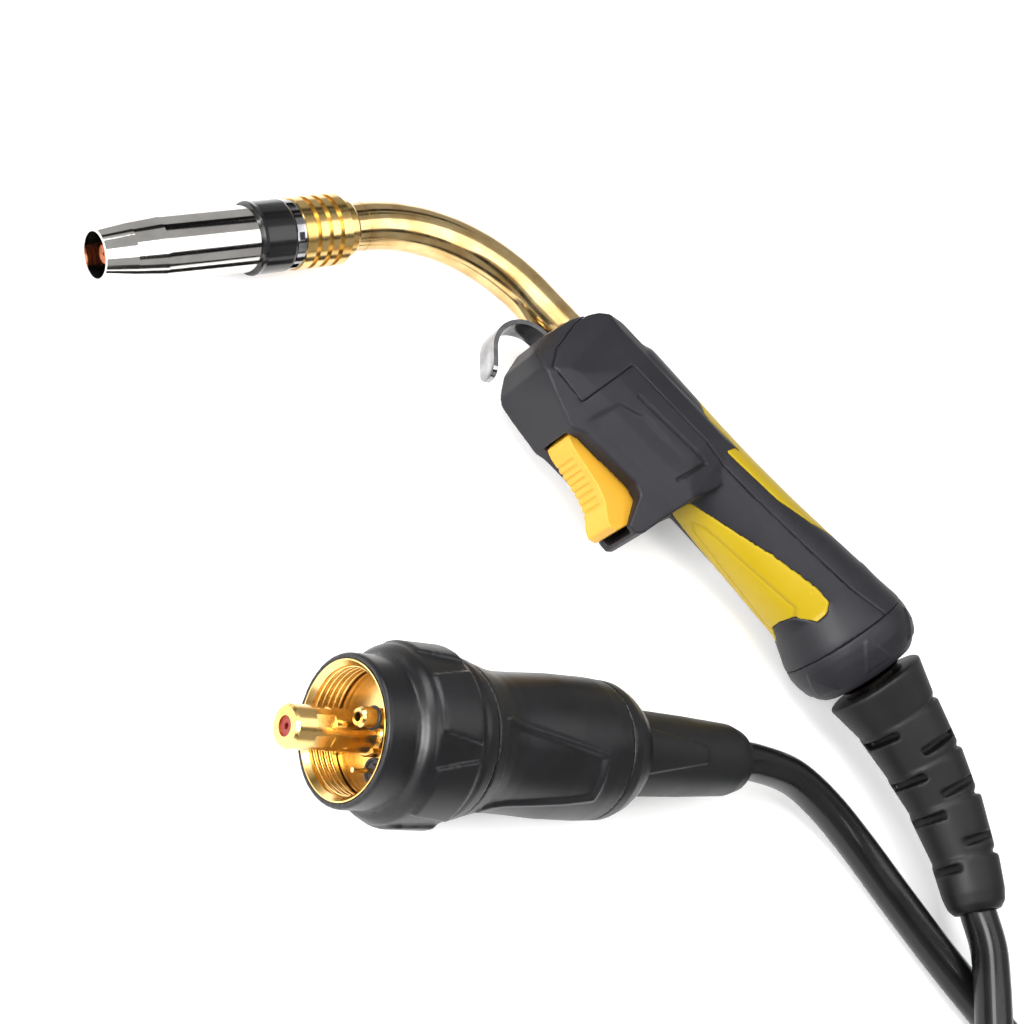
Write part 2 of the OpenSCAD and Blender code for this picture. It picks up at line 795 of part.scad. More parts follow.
module plug_body() {
    color([0.84, 0.68, 0.34]) plug() difference() {
        union() {
            rod(17, -46, -18);
            rod(18.7, -18.5, plate_u);
        }
        rod(plug_pin_d / 2 - pin_step, -47, plate_u + 1);
        bush_places() rod(4, -20, plate_u + 1);
        translate([0, 0, 11]) rod(3, -16, plate_u + 1);
    }
}

module centre_pin() {
    r = plug_pin_d / 2;
    color([0.84, 0.68, 0.34]) plug() difference() {
        union() {
            rod(r - pin_step, -46, plug_pin_reach - 7);
            rod(r, plug_pin_reach - 7, plug_pin_reach - 0.8);
            turned([[plug_pin_reach - 0.8, 0], [plug_pin_reach - 0.8, r],
                [plug_pin_reach, r - 0.8], [plug_pin_reach, 0]]);
            turned([[plate_u, 0], [plate_u, 7.3], [plate_u + 2.4, 7.3],
                [plate_u + 3, 6.8], [plate_u + 3, 0]]);
        }
        rod(liner_d / 2, -47, plug_pin_reach + 1);
        for (a = [0 : 60 : 300]) rotate([a, 0, 0])
            translate([plug_pin_reach - 14, -8, r - 0.6]) cube([7, 16, 5]);
    }
}

module wire_liner() {
    color([0.4, 0.08, 0.06]) plug() pipe(liner_d / 2, 1, -118, plug_pin_reach - 0.6);
}

module gas_nipple() {
    color([0.84, 0.68, 0.34]) plug() translate([0, 0, 11]) difference() {
        union() {
            rod(3, -16, plate_u);
            rod(3.6, plate_u, plate_u + 2.5);
            turned([[plate_u + 2, 0], [plate_u + 2, 3.1], [-4.4, 3.1], [-4.4, 2.5],
                [-2.8, 2.5], [-2.8, 3.1], [1.2, 3.1], [2, 2.5], [2, 0]]);
        }
        rod(1.5, -17, 3);
    }
}

module nipple_o_ring() {
    color([0.05, 0.05, 0.05]) plug() translate([-3.6, 0, 11]) rotate([0, 90, 0])
        rotate_extrude() translate([3.1, 0]) circle(r = 0.6);
}

module signal_bushes() {
    color([0.05, 0.05, 0.06]) plug() bush_places() difference() {
        union() {
            rod(4, -20, plate_u);
            turned([[plate_u, 0], [plate_u, 3.9], [plate_u + 0.9, 3.9], [plate_u + 0.9, 3.2],
                [plate_u + 0.4, 2.9], [plate_u + 0.4, 2.3], [plate_u + 1, 2],
                [plate_u + 1, 0]]);
        }
        rod(signal_d / 2 + run_gap, -21, plate_u + 2);
        rod(1.9, -21, -14.5);
    }
}

module signal_pin() {
    rod(signal_d / 2, -16.4, -4);
    rod(1.8, -16.4, -14.8);
}

module signal_pin_1() {
    color([0.85, 0.6, 0.3]) plug() rotate([40, 0, 0]) translate([0, bush_r, 0]) signal_pin();
}

module signal_pin_2() {
    color([0.85, 0.6, 0.3]) plug() rotate([-15, 0, 0]) translate([0, bush_r, 0]) signal_pin();
}

module nut_shell() {
    f = flange_d / 2;
    w = sleeve_d / 2;
    color([0.15, 0.15, 0.17]) plug() {
        difference() {
            turned([[0, 0], [0, w - 0.5], [-0.8, w], [-11, w], [flange_u0, w + 2.4],
                [-14.5, f - 0.2], [-16, f], [-31, f], [flange_u1, f - 0.5],
                [-34, f - 1.8], [-36, f - 1.4], [nut_u1, f - 2.2], [nut_u1, 0]]);
            rod(spigot_r + run_gap, nut_u1 - 1, 1);
            rod(21, -26, 1);
        }
        difference() {
            turned([[-32, 0], [-32, f], [-31.2, f + pad_h], [-17, f + pad_h], [-16, f],
                [-16, 0]]);
            rod(f - 0.5, -33, -15);
            for (k = [0 : pad_count - 1]) rotate([(k + 0.5) * 360 / pad_count, 0, 0])
                translate([0, 0, -f - 10]) linear_extrude(12) polygon([[-34, -2],
                    [-14, -6], [-14, 6], [-34, 2]]);
        }
    }
}

module threaded_insert() {
    r = thread_d / 2;
    color([0.86, 0.7, 0.36]) plug() difference() {
        rod(21, -24, 0);
        rod(r, -25, 1);
        turned([[-1.6, 0], [-1.6, r], [1, r + 2.2], [1, 0]]);
        for (i = [0 : 3]) turned([[-4 - i * thread_pitch, 0],
            [-4 - i * thread_pitch, r], [-3.4 - i * thread_pitch, r + 0.8],
            [-2.8 - i * thread_pitch, r], [-2.8 - i * thread_pitch, 0]]);
    }
}

module nut_circlip() {
    color([0.5, 0.5, 0.52]) plug() pipe(20.7, 17, -25.7, -24.3);
}

gas_nozzle();
insulator_band();
contact_tip();
gas_diffuser();
nozzle_insulator();
clip_ring();
finned_ring();
step_ring();
neck_tube();
neck_insulation();
neck_conductor();
neck_block();
core_lead();
upper_shell();
lower_shell();
back_inlay();
belly_inlay();
shell_screws();
suspension_hook();
trigger();
trigger_pin();
switch_body();
switch_plunger();
rear_collar();
swivel_ball();
torch_boot();
torch_cable();
cable_coil();
connector_cable();
plug_boot();
plug_cap();
plug_housing();
plug_core();
plug_body();
centre_pin();
wire_liner();
gas_nipple();
nipple_o_ring();
signal_bushes();
signal_pin_1();
signal_pin_2();
nut_shell();
threaded_insert();
nut_circlip();
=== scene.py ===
import bmesh
import bpy
import json
import math
import numpy as np
from mathutils import Matrix, Vector


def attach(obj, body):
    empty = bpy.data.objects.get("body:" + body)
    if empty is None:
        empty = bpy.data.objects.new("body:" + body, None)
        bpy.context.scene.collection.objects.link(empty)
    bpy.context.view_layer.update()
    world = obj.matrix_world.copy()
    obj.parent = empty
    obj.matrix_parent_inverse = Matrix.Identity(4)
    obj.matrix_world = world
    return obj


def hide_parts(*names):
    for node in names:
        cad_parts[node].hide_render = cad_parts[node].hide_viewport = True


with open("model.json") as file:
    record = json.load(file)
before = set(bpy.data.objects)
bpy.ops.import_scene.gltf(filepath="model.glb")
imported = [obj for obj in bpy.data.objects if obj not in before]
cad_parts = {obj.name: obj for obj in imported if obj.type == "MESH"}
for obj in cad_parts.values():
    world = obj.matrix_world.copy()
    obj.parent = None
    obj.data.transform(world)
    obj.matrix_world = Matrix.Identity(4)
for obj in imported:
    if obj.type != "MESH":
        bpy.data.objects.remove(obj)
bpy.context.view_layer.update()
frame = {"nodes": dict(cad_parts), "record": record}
nodes = frame["nodes"]
mm = 0.001


def turned(degrees, axis):
    return Matrix.Rotation(math.radians(degrees), 4, axis)


# Where the torch, its rear end, the nozzle and the plug lie, in millimetres and degrees.
place = {
    "originX": 98.03,
    "originY": 51.53,
    "axisHeight": 25.68,
    "sideTilt": 7.9,
    "rearX": 20.0,
    "rearTurn": 13.0,
    "neckBend": 60.0,
    "neckBendRadius": 70.0,
    "neckBendX": 178.0,
    "plugX": 135.0,
    "plugY": 201.0,
    "plugYaw": 45.5,
    "plugNoseUp": 4.4,
    "plugHalfWidth": 28.1,
    "plugFloorStation": 32.0,
    "nozzleMiddle": 65.0,
}
noseUp = math.radians(place["plugNoseUp"])
plugRise = (place["plugHalfWidth"] * math.cos(noseUp)
            + place["plugFloorStation"] * math.sin(noseUp))
bendAngle = math.radians(place["neckBend"])
worldFrame = (Matrix.Scale(mm, 4)
              @ Matrix.Translation((-place["originX"], -place["originY"], 0)))
handleFrame = (worldFrame @ Matrix.Translation((0, 0, place["axisHeight"]))
               @ turned(-place["sideTilt"], "X"))
rearFrame = (handleFrame @ Matrix.Translation((place["rearX"], 0, 0))
             @ turned(-place["rearTurn"], "Z"))
nozzleFrame = (handleFrame @ Matrix.Translation((
    place["neckBendX"] + place["neckBendRadius"] * math.sin(bendAngle),
    place["neckBendRadius"] * (1 - math.cos(bendAngle)), 0)) @ turned(place["neckBend"], "Z"))
plugFrame = (worldFrame @ Matrix.Translation((place["plugX"], place["plugY"], plugRise))
             @ turned(place["plugYaw"], "Z") @ turned(-place["plugNoseUp"], "Y"))


def hexColour(code):
    channels = [int(code[i:i + 2], 16) / 255 for i in (1, 3, 5)]
    linear = [c / 12.92 if c <= 0.04045 else ((c + 0.055) / 1.055) ** 2.4 for c in channels]
    return (*linear, 1.0)


def addNode(tree, kind, values=None, **settings):
    node = tree.nodes.new(kind)
    for name, value in settings.items():
        setattr(node, name, value)
    for socket, value in (values or {}).items():
        if isinstance(value, bpy.types.NodeSocket):
            tree.links.new(value, node.inputs[socket])
        else:
            node.inputs[socket].default_value = value
    return node


def makeObject(name, mesh):
    obj = bpy.data.objects.new(name, mesh)
    bpy.context.scene.collection.objects.link(obj)
    return obj


def setMaterial(obj, material):
    if not obj.data.materials:
        obj.data.materials.append(material)
    for slot in obj.material_slots:
        slot.material = material


# Camera, floor and light come first.
studio = {
    "cameraPlace": (0.12466, 0.50095, 0.49467),
    "look": (-0.13150, -0.70138, -0.70055),
    "up": (0.71206, -0.55850, 0.42550),
    "lens": 70.3,
    "sensor": 36.0,
    "worldLight": 0.5,
    "floorColour": "#F4F4F4",
    "floorSize": 6.0,
    "floorGlow": 0.3,
    "cardColour": "#050506",
    "cardGlow": 1.3,
    "focus": (0.02, 0.03, 0.02),
    "plugLight": (520, 90, 260),
    "plugLightSize": (0.3, 0.3),
    "plugLightPower": 7,
    "streakDistance": 0.6,
    "streakHalfLength": 0.25,
    "darkStreaks": [(-44, -30), (56, 70)],
    "brightStreak": (-28, 16),
}
# Each lies so far to the right of, above and behind the focus, seen by the camera.
lamps = {
    "keyLight": {"offset": (0, 1.1, 0.9), "size": (0.9, 0.5), "power": 17},
    "fillLight": {"offset": (0.9, 0, 0.9), "size": (0.5, 0.9), "power": 6},
}


def makeCamera(values):
    data = bpy.data.cameras.new("studioCamera")
    data.lens = values["lens"]
    data.sensor_width = values["sensor"]
    data.clip_start = 0.01
    camera = makeObject("studioCamera", data)
    back = -Vector(values["look"]).normalized()
    right = Vector(values["up"]).cross(back).normalized()
    above = back.cross(right)
    turn = Matrix((right, above, back)).transposed().to_4x4()
    camera.matrix_world = Matrix.Translation(values["cameraPlace"]) @ turn
    bpy.context.scene.camera = camera
    return right, above, back


def plainMaterial(name, colour, emission=0.0):
    material = bpy.data.materials.new(name)
    material.use_nodes = True
    shader = material.node_tree.nodes["Principled BSDF"]
    shader.inputs["Base Color"].default_value = hexColour(colour)
    shader.inputs["Roughness"].default_value = 0.9
    shader.inputs["Specular IOR Level"].default_value = 0.1
    if emission:
        shader.inputs["Emission Color"].default_value = hexColour(colour)
        shader.inputs["Emission Strength"].default_value = emission
    return material


def flatPanel(name, centre, along, across, material):
    corners = [Vector(centre) + Vector(along) * a + Vector(across) * b
               for a, b in ((-1, -1), (1, -1), (1, 1), (-1, 1))]
    mesh = bpy.data.meshes.new(name)
    mesh.from_pydata(corners, [], [(0, 1, 2, 3)])
    panel = makeObject(name, mesh)
    setMaterial(panel, material)
    return panel


def areaLight(name, where, target, size, power):
    data = bpy.data.lights.new(name, "AREA")
    data.shape = "RECTANGLE"
    data.size, data.size_y = size
    data.energy = power
    light = makeObject(name, data)
    aim = Vector(target) - Vector(where)
    light.matrix_world = (Matrix.Translation(where)
                          @ aim.to_track_quat("-Z", "Y").to_matrix().to_4x4())


camRight, camUp, camBack = makeCamera(studio)
half = studio["floorSize"] / 2
flatPanel("floor", (0, 0, -0.0005), (half, 0, 0), (0, half, 0),
          plainMaterial("Floor_matt_paint", studio["floorColour"], studio["floorGlow"]))
world = bpy.data.worlds.new("studio")
world.use_nodes = True
world.node_tree.nodes["Background"].inputs["Color"].default_value = (1, 1, 1, 1)
world.node_tree.nodes["Background"].inputs["Strength"].default_value = studio["worldLight"]
bpy.context.scene.world = world
bpy.context.scene.view_settings.view_transform = "Standard"
focus = Vector(studio["focus"])
for name, lamp in lamps.items():
    right, above, back = lamp["offset"]
    areaLight(name, focus + camRight * right + camUp * above + camBack * back, focus,
              lamp["size"], lamp["power"])
areaLight("plugLight", plugFrame @ Vector(studio["plugLight"]), plugFrame @ Vector((0, 0, 0)),
          studio["plugLightSize"], studio["plugLightPower"])
darkCard = plainMaterial("Card_black_velvet", studio["cardColour"])
nozzleAxis = nozzleFrame.to_3x3() @ Vector((1, 0, 0))
nozzleAxis.normalize()
nozzleMiddle = nozzleFrame @ Vector((place["nozzleMiddle"], 0, 0))
beside = nozzleAxis.cross(Vector((0, 0, 1))).normalized()
if beside.dot(camUp) > 0:
    beside = -beside
flatAxis = Vector((nozzleAxis.x, nozzleAxis.y, 0)).normalized()
nozzleFoot = Vector((nozzleMiddle.x, nozzleMiddle.y, 0.002))
# A card is its centre and two half sides, in metres.
cards = [
    (focus + camBack * 1.2 - camUp * 0.52, camRight * 1.4, camUp * 0.2),
    (focus + camBack * 0.3 + camUp * 1.4, camRight * 1.2, camBack * 0.12),
    (nozzleFoot + beside * 0.05, flatAxis * 0.09, beside * 0.018),
]


def streakCard(low, high):
    # A card whose image runs along the nozzle, between two turns round its axis.
    face = (camBack - nozzleAxis * camBack.dot(nozzleAxis)).normalized()
    above = nozzleAxis.cross(face)
    lean = camBack.dot(nozzleAxis)
    middle = math.radians((low + high) / 2)
    reach = studio["streakDistance"]
    spread = math.sqrt(1 - lean * lean)
    out = -lean * nozzleAxis + spread * (math.cos(middle) * face + math.sin(middle) * above)
    across = math.cos(middle) * above - math.sin(middle) * face
    halfWidth = spread * reach * math.tan(math.radians(high - low) / 2)
    along = nozzleAxis * studio["streakHalfLength"]
    return nozzleMiddle + reach * out, along, across * halfWidth


cards += [streakCard(low, high) for low, high in studio["darkStreaks"]]
brightCard = plainMaterial("Card_white_lit", "#FFFFFF", studio["cardGlow"])
bright = [(focus + camBack * 1.3 + camUp * 0.2, camRight * 1.4, camUp * 0.3),
          streakCard(*studio["brightStreak"])]
for number, (centre, along, across) in enumerate(cards + bright):
    card = flatPanel(f"card{number + 1}", centre, along, across,
                     darkCard if number < len(cards) else brightCard)
    card.visible_camera = False
    card.visible_diffuse = False
    card.visible_shadow = False
print("camera, floor and light done")

# The lead: from the boot to the coil, round the coil and back to the plug.
lead = {
    "radius": 6.75,
    "sides": 20,
    "stepsPerStretch": 8,
    "stepsPerTurn": 72,
    "coarseSteps": 24,
    "turns": 5.75,
    "coilX": -247.5,
    "coilY": 170.0,
    "coilRadius": 94.0,
    "coilPitch": 15.0,
    "coilDip": 10.0,
    "inwardTurns": 2.5,
    "outwardFrom": 3.5,
    "riseFrom": 2.75,
    "riseTurns": 0.5,
    "layerRise": 14.1,
    "layerGap": 0.6,
    "runOut": 28.0,
    "bootStart": -33.0,
    "bootLengths": [16, 19, 17, 21, 20],
    "bootBends": [0, 5, 5, 9, 9],
    "insideBoot": 10.0,
    "insidePlug": [-105, -120, -145, -168, -178],
    "torchPoints": [(-103, 58, 20.6), (-110, 72, 21.4), (-119, 90, 21.3), (-130, 108, 21),
                    (-141, 125, 20.9), (-151, 141, 20.85)],
    "overCoil": (-156.8, 156.5),
    "plugPoints": [(-6, 62.5, 13.6), (-24, 57, 10), (-44, 56.5, 7.4), (-68, 60.5, 6.8),
                   (-94, 65, 6.75), (-122, 68.6, 6.75), (-155, 72, 6.75), (-190, 74.8, 6.75),
                   (-228, 76, 6.75)],
}


def leadPoint(x, y, z):
    return worldFrame @ Vector((x, y, z))


def coilPoint(t):
    # Inward on the bench, a dip while it climbs, then outward in the upper layer.
    innermost = lead["coilRadius"] - lead["coilPitch"] * lead["inwardTurns"]
    if t < lead["inwardTurns"]:
        radius = lead["coilRadius"] - lead["coilPitch"] * t
    elif t < lead["outwardFrom"]:
        radius = innermost - lead["coilDip"] * math.sin(math.pi * (t - lead["inwardTurns"])) ** 2
    else:
        radius = innermost + lead["coilPitch"] * (t - lead["outwardFrom"])
    rise = min(max((t - lead["riseFrom"]) / lead["riseTurns"], 0), 1)
    angle = math.radians(-90 - 360 * t)
    return leadPoint(lead["coilX"] + radius * math.cos(angle),
                     lead["coilY"] + radius * math.sin(angle),
                     lead["radius"] + lead["layerRise"] * rise * rise * (3 - 2 * rise))


def bootStations():
    heading, spot, found = 180.0, Vector((lead["bootStart"], 0, 0)), []
    for length, bend in zip(lead["bootLengths"], lead["bootBends"]):
        heading -= bend
        found.append((spot.copy(), math.radians(heading)))
        spot = spot + length * Vector((math.cos(math.radians(heading)),
                                       math.sin(math.radians(heading)), 0))
    return found, spot


def smoothRoute(route, steps):
    points = []
    for a, b, c, d in zip(route, route[1:], route[2:], route[3:]):
        for step in range(steps):
            t = step / steps
            point = 0.5 * (2 * b + (c - a) * t + (2 * a - 5 * b + 4 * c - d) * t * t
                           + (3 * b - a - 3 * c + d) * t * t * t)
            point.z = max(point.z, lead["radius"] * mm)
            points.append(point)
    return points + [route[-2]]


def addCoilEnd(route, at, towards):
    way = (coilPoint(towards) - coilPoint(at)).normalized()
    route += [coilPoint(at), route[-1] + lead["runOut"] * mm * way]


bootSpots, bootEnd = bootStations()
lastSpot, lastHeading = bootSpots[-1]
insideBoot = lastSpot + lead["insideBoot"] * Vector((math.cos(lastHeading),
                                                     math.sin(lastHeading), 0))
insideSpots = [spot for spot, heading in bootSpots[2:]] + [insideBoot, bootEnd]
upperLayer = 3 * lead["radius"] + lead["layerGap"]
torchRoute = [rearFrame @ spot for spot in insideSpots]
torchRoute += [leadPoint(*p) for p in lead["torchPoints"]]
torchRoute += [leadPoint(*lead["overCoil"], upperLayer)]
addCoilEnd(torchRoute, lead["turns"], lead["turns"] - 1 / lead["coarseSteps"])
plugRoute = [plugFrame @ Vector((u, 0, 0)) for u in lead["insidePlug"]]
plugRoute += [leadPoint(*p) for p in lead["plugPoints"]]
addCoilEnd(plugRoute, 0, 1 / lead["coarseSteps"])
perStretch = lead["stepsPerStretch"]
coilSteps = round(lead["turns"] * lead["stepsPerTurn"])
leadPath = smoothRoute(torchRoute, perStretch)[2 * perStretch:]
leadPath += [coilPoint(lead["turns"] * (1 - i / coilSteps)) for i in range(1, coilSteps)]
leadPath += smoothRoute(plugRoute, perStretch)[::-1]


def tubeMesh(name, path, radius, sides):
    side = None
    vertices, faces = [], []
    for index, point in enumerate(path):
        heading = (path[min(index + 1, len(path) - 1)] - path[max(index - 1, 0)]).normalized()
        if side is None:
            side = heading.cross(Vector((0, 0, 1)))
        side = (side - heading * side.dot(heading)).normalized()
        above = side.cross(heading)
        for k in range(sides):
            angle = 2 * math.pi * k / sides
            vertices.append(point + radius * (math.cos(angle) * side + math.sin(angle) * above))
    for ring in range(len(path) - 1):
        for k in range(sides):
            a, b = ring * sides + k, ring * sides + (k + 1) % sides
            faces.append((a, b, b + sides, a + sides))
    last = (len(path) - 1) * sides
    faces.append(tuple(reversed(range(sides))))
    faces.append(tuple(range(last, last + sides)))
    mesh = bpy.data.meshes.new(name)
    mesh.from_pydata(vertices, [], faces)
    tidy = bmesh.new()
    tidy.from_mesh(mesh)
    bmesh.ops.recalc_face_normals(tidy, faces=tidy.faces)
    tidy.to_mesh(mesh)
    tidy.free()
    mesh.shade_smooth()
    return mesh


leadTube = makeObject("lead", tubeMesh("lead", leadPath, lead["radius"] * mm, lead["sides"]))

# Finishes. Patterns read millimetres in the frame of the piece that they follow.


def startMaterial(name, colour, roughness, metallic=0.0, **sockets):
    material = bpy.data.materials.new(name)
    material.use_nodes = True
    tree = material.node_tree
    shader = tree.nodes["Principled BSDF"]
    shader.inputs["Base Color"].default_value = hexColour(colour)
    shader.inputs["Roughness"].default_value = roughness
    shader.inputs["Metallic"].default_value = metallic
    for socket, value in sockets.items():
        shader.inputs[socket.replace("_", " ")].default_value = value
    return material, tree, shader


def frameCoordinates(tree, matrix):
    where, turn, scale = matrix.inverted().decompose()
    objectCoordinates = addNode(tree, "ShaderNodeTexCoord")
    return addNode(tree, "ShaderNodeMapping", {
        "Vector": objectCoordinates.outputs["Object"], "Location": where,
        "Rotation": turn.to_euler(), "Scale": scale})


def turnedMetal(name, colour, shade, roughness, matrix, ring=0.35, cut=0.004, smudge=14.0):
    # Lathe lines run round the axis; smudges of handling dull it in patches.
    material, tree, shader = startMaterial(name, colour, roughness, 1.0)
    local = frameCoordinates(tree, matrix)
    split = addNode(tree, "ShaderNodeSeparateXYZ", {"Vector": local.outputs["Vector"]})
    rings = addNode(tree, "ShaderNodeTexNoise", {
        "W": split.outputs["X"], "Scale": 1 / ring, "Detail": 3.0, "Roughness": 0.6},
        noise_dimensions="1D")
    patches = addNode(tree, "ShaderNodeTexNoise", {
        "Vector": local.outputs["Vector"], "Scale": 1 / smudge, "Detail": 4.0})
    tone = addNode(tree, "ShaderNodeMix", {
        "Factor": addNode(tree, "ShaderNodeMapRange", {
            "Value": patches.outputs["Fac"], "From Min": 0.35, "From Max": 0.75}).outputs["Result"],
        "A": hexColour(colour), "B": hexColour(shade)}, data_type="RGBA")
    tree.links.new(tone.outputs["Result"], shader.inputs["Base Color"])
    both = addNode(tree, "ShaderNodeMath", {
        0: rings.outputs["Fac"], 1: patches.outputs["Fac"]}, operation="ADD")
    dull = addNode(tree, "ShaderNodeMapRange", {
        "Value": both.outputs["Value"], "From Min": 0.6, "From Max": 1.4,
        "To Min": roughness * 0.7, "To Max": roughness * 1.35})
    tree.links.new(dull.outputs["Result"], shader.inputs["Roughness"])
    relief = addNode(tree, "ShaderNodeBump", {
        "Height": rings.outputs["Fac"], "Strength": 0.5, "Distance": cut * mm})
    tree.links.new(relief.outputs["Normal"], shader.inputs["Normal"])
    return material


# The near-black groove colour is painted shade for sunk lines.
plastic = {"specular": 0.28, "patch": 22, "rubbed": (0.51, 0.56), "grooveShadeColour": "#020202"}


def mouldedPlastic(name, colour, worn, roughness, grain, depth, matrix, coat=0.0):
    # Spark-eroded mould grain, slightly polished and paler where hands rub the edges.
    material, tree, shader = startMaterial(name, colour, roughness)
    shader.inputs["Coat Weight"].default_value = coat
    shader.inputs["Specular IOR Level"].default_value = plastic["specular"]
    local = frameCoordinates(tree, matrix)
    grains = addNode(tree, "ShaderNodeTexNoise", {
        "Vector": local.outputs["Vector"], "Scale": 1 / grain, "Detail": 2.0})
    patches = addNode(tree, "ShaderNodeTexNoise", {
        "Vector": local.outputs["Vector"], "Scale": 1 / plastic["patch"], "Detail": 5.0})
    edges = addNode(tree, "ShaderNodeNewGeometry")
    rubbed = addNode(tree, "ShaderNodeMapRange", {
        "Value": edges.outputs["Pointiness"], "From Min": plastic["rubbed"][0],
        "From Max": plastic["rubbed"][1], "To Max": 0.5})
    stain = addNode(tree, "ShaderNodeMapRange", {
        "Value": patches.outputs["Fac"], "From Min": 0.45, "From Max": 0.8, "To Max": 0.35})
    amount = addNode(tree, "ShaderNodeMath", {
        0: rubbed.outputs["Result"], 1: stain.outputs["Result"]}, operation="MAXIMUM")
    tone = addNode(tree, "ShaderNodeMix", {
        "Factor": amount.outputs["Value"], "A": hexColour(colour), "B": hexColour(worn)},
        data_type="RGBA")
    # Painted shade: a per-point groove value darkens the colour towards near-black in sunk lines.
    grooveShade = addNode(tree, "ShaderNodeAttribute", attribute_name="grooveShade")
    shaded = addNode(tree, "ShaderNodeMix", {
        "Factor": grooveShade.outputs["Fac"], "A": tone.outputs["Result"],
        "B": hexColour(plastic["grooveShadeColour"])}, data_type="RGBA")
    tree.links.new(shaded.outputs["Result"], shader.inputs["Base Color"])
    gloss = addNode(tree, "ShaderNodeMapRange", {
        "Value": patches.outputs["Fac"], "From Min": 0.3, "From Max": 0.7,
        "To Min": roughness * 0.85, "To Max": min(roughness * 1.15, 1)})
    tree.links.new(gloss.outputs["Result"], shader.inputs["Roughness"])
    relief = addNode(tree, "ShaderNodeBump", {
        "Height": grains.outputs["Fac"], "Strength": 0.6, "Distance": depth * mm})
    tree.links.new(relief.outputs["Normal"], shader.inputs["Normal"])
    return material


finishes = {
    "nozzle_chrome": turnedMetal("Chromium_plate_on_turned_copper", "#DAD8D4", "#BDB9B3",
                                 0.09, nozzleFrame, ring=0.5, cut=0.0015),
    "copper": turnedMetal("Copper_alloy_turned", "#B5673F", "#8A4526", 0.28, nozzleFrame),
    "ball_black": turnedMetal("Brass_blackened", "#1A1815", "#0E0D0C", 0.35, rearFrame),
    "brass": turnedMetal("Brass_turned", "#DEC080", "#C9A25C", 0.2, nozzleFrame),
    "plug_brass": turnedMetal("Brass_turned_plug", "#E4C484", "#CFA75F", 0.2, plugFrame),
    "neck_jacket": turnedMetal("Brass_tube_drawn_and_polished", "#D9C08C", "#B8935A", 0.15,
                               handleFrame, ring=6.0, cut=0.002, smudge=9.0),
    "steel": turnedMetal("Steel_strip_nickel_plated", "#A9A9AC", "#77777A", 0.12, handleFrame,
                         ring=1.5, cut=0.002, smudge=5.0),
    "band_black": mouldedPlastic("Phenolic_moulded_black", "#0B0B0C", "#1B1B1D", 0.22, 0.8,
                                 0.01, nozzleFrame, coat=0.3),
    "insulation": mouldedPlastic("Glass_fibre_tube_wound", "#2A2320", "#3A302A", 0.6, 0.5, 0.02,
                                 handleFrame),
    "phenolic": mouldedPlastic("Phenolic_machined_brown", "#35261C", "#4A3626", 0.5, 0.5, 0.02,
                               nozzleFrame),
    "handle_plastic": mouldedPlastic("Nylon_glass_filled_moulded", "#16151A", "#26252B", 0.5,
                                     0.45, 0.035, handleFrame),
    "grip_yellow": mouldedPlastic("Elastomer_overmoulded_yellow", "#A38A06", "#B09A1E", 0.42,
                                  0.5, 0.025, handleFrame),
    "trigger_orange": mouldedPlastic("Acetal_moulded_orange_yellow", "#C08F28", "#C99B3C", 0.38,
                                     0.6, 0.012, handleFrame),
    "switch_black": mouldedPlastic("Polyester_moulded_switch", "#1A1A1C", "#2A2A2C", 0.5, 0.5,
                                   0.02, handleFrame),
    "plunger_red": mouldedPlastic("Acetal_moulded_red", "#8E1D14", "#A5372B", 0.4, 0.5, 0.01,
                                  handleFrame),
    "boot_rubber": mouldedPlastic("Rubber_moulded_black", "#0C0C0D", "#1B1B1D", 0.5, 0.5,
                                  0.03, rearFrame),
    "plug_plastic": mouldedPlastic("Nylon_moulded_plug_black", "#0A0A0C", "#1C1C20", 0.38,
                                   0.5, 0.02, plugFrame),
    "lead_jacket": mouldedPlastic("Vinyl_extruded_black", "#060607", "#111113", 0.3, 2.5, 0.03,
                                  worldFrame, coat=0.2),
    "liner_red": mouldedPlastic("Polyamide_tube_red", "#5E1410", "#7A241C", 0.35, 0.6, 0.01,
                                plugFrame),
}

nodeFinish = {
    "nozzle_chrome": ["gas_nozzle"],
    "band_black": ["insulator_band"],
    "copper": ["contact_tip", "neck_conductor", "plug_core"],
    "brass": ["finned_ring", "step_ring", "gas_diffuser", "neck_block"],
    "ball_black": ["swivel_ball"],
    "plug_brass": ["plug_body", "centre_pin", "gas_nipple", "threaded_insert", "signal_pin_1",
                   "signal_pin_2"],
    "neck_jacket": ["neck_tube"],
    "steel": ["suspension_hook", "clip_ring", "trigger_pin", "shell_screws", "nut_circlip"],
    "insulation": ["neck_insulation", "core_lead"],
    "phenolic": ["nozzle_insulator"],
    "handle_plastic": ["upper_shell", "lower_shell", "rear_collar"],
    "grip_yellow": ["back_inlay", "belly_inlay"],
    "trigger_orange": ["trigger"],
    "switch_black": ["switch_body", "signal_bushes", "nipple_o_ring"],
    "plunger_red": ["switch_plunger"],
    "boot_rubber": ["torch_boot"],
    "plug_plastic": ["plug_boot", "plug_cap", "plug_housing", "nut_shell"],
    "liner_red": ["wire_liner"],
}
for finish, names in nodeFinish.items():
    for name in names:
        setMaterial(nodes[name], finishes[finish])
setMaterial(leadTube, finishes["lead_jacket"])
print("finishes done")

# Moulded pieces: the CAD solid with its edges eased, then its surface detail.
gripLine = np.array([[20, 21.6], [28, 21], [36, 20.4], [50, 19.6], [66, 18.9], [85, 18.4],
                     [104, 18.6], [120, 19], [134, 19.2]])
gripDetail = {
    "unit": 100,
    "degree": 4,
    "under": 0.35,
    "over": 0.25,
    "start": (22, 30),
    "end": (124, 132),
}
gripFit = np.polyfit(gripLine[:, 0] / gripDetail["unit"], gripLine[:, 1], gripDetail["degree"])


def mergedCopy(name, source):
    mesh = source.data.copy()
    mesh.name = name
    shape = bmesh.new()
    shape.from_mesh(mesh)
    bmesh.ops.remove_doubles(shape, verts=shape.verts, dist=1e-6)
    shape.to_mesh(mesh)
    shape.free()
    return makeObject(name, mesh)


